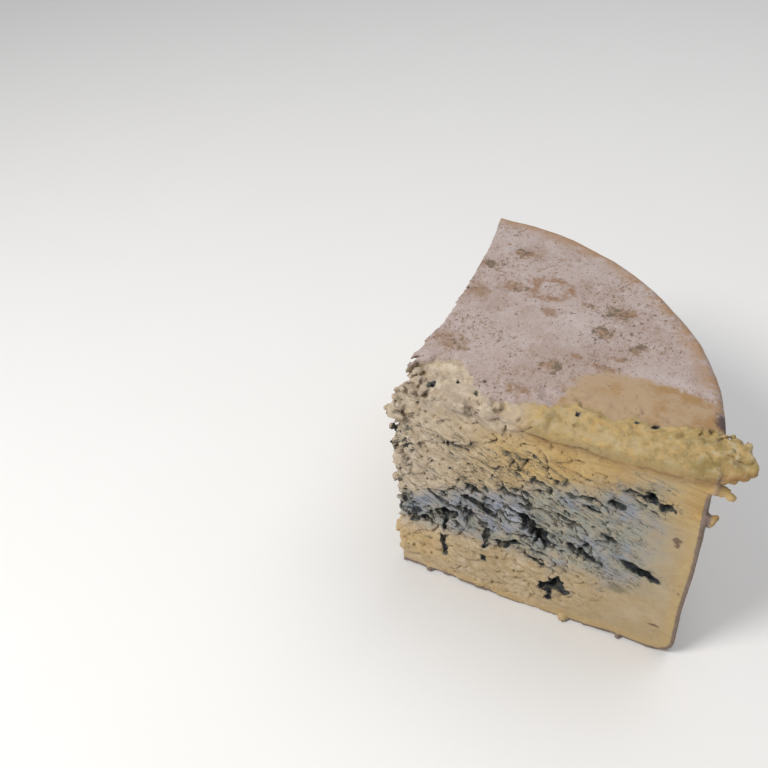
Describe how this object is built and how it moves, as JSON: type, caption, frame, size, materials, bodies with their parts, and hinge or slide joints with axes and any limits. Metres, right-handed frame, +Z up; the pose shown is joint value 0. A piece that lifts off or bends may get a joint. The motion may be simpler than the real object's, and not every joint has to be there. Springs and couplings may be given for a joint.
{
  "type": "blue cheese wedge",
  "caption": "Quarter wedge of a drum-shaped blue cheese: rind on the top and rim, two crumbly cut faces with blue mould, and a lip of soft paste along one cut.",
  "frame": {"origin": "middle of the wedge's box, on the face that the wedge rests on", "axes": "+Z up, +X along the front cut from the apex to the rim, +Y from the front cut into the cheese"},
  "size_m": [0.1528, 0.1426, 0.1226],
  "materials": {
    "cheese": "semi-soft cream paste, crumbly and slightly greasy, with blue-green mould in its cracks; powdery lilac-grey and tan rind on the top and the rim"
  },
  "bodies": {
    "root": {"cheese_wedge": "cheese"}
  },
  "joints": []
}
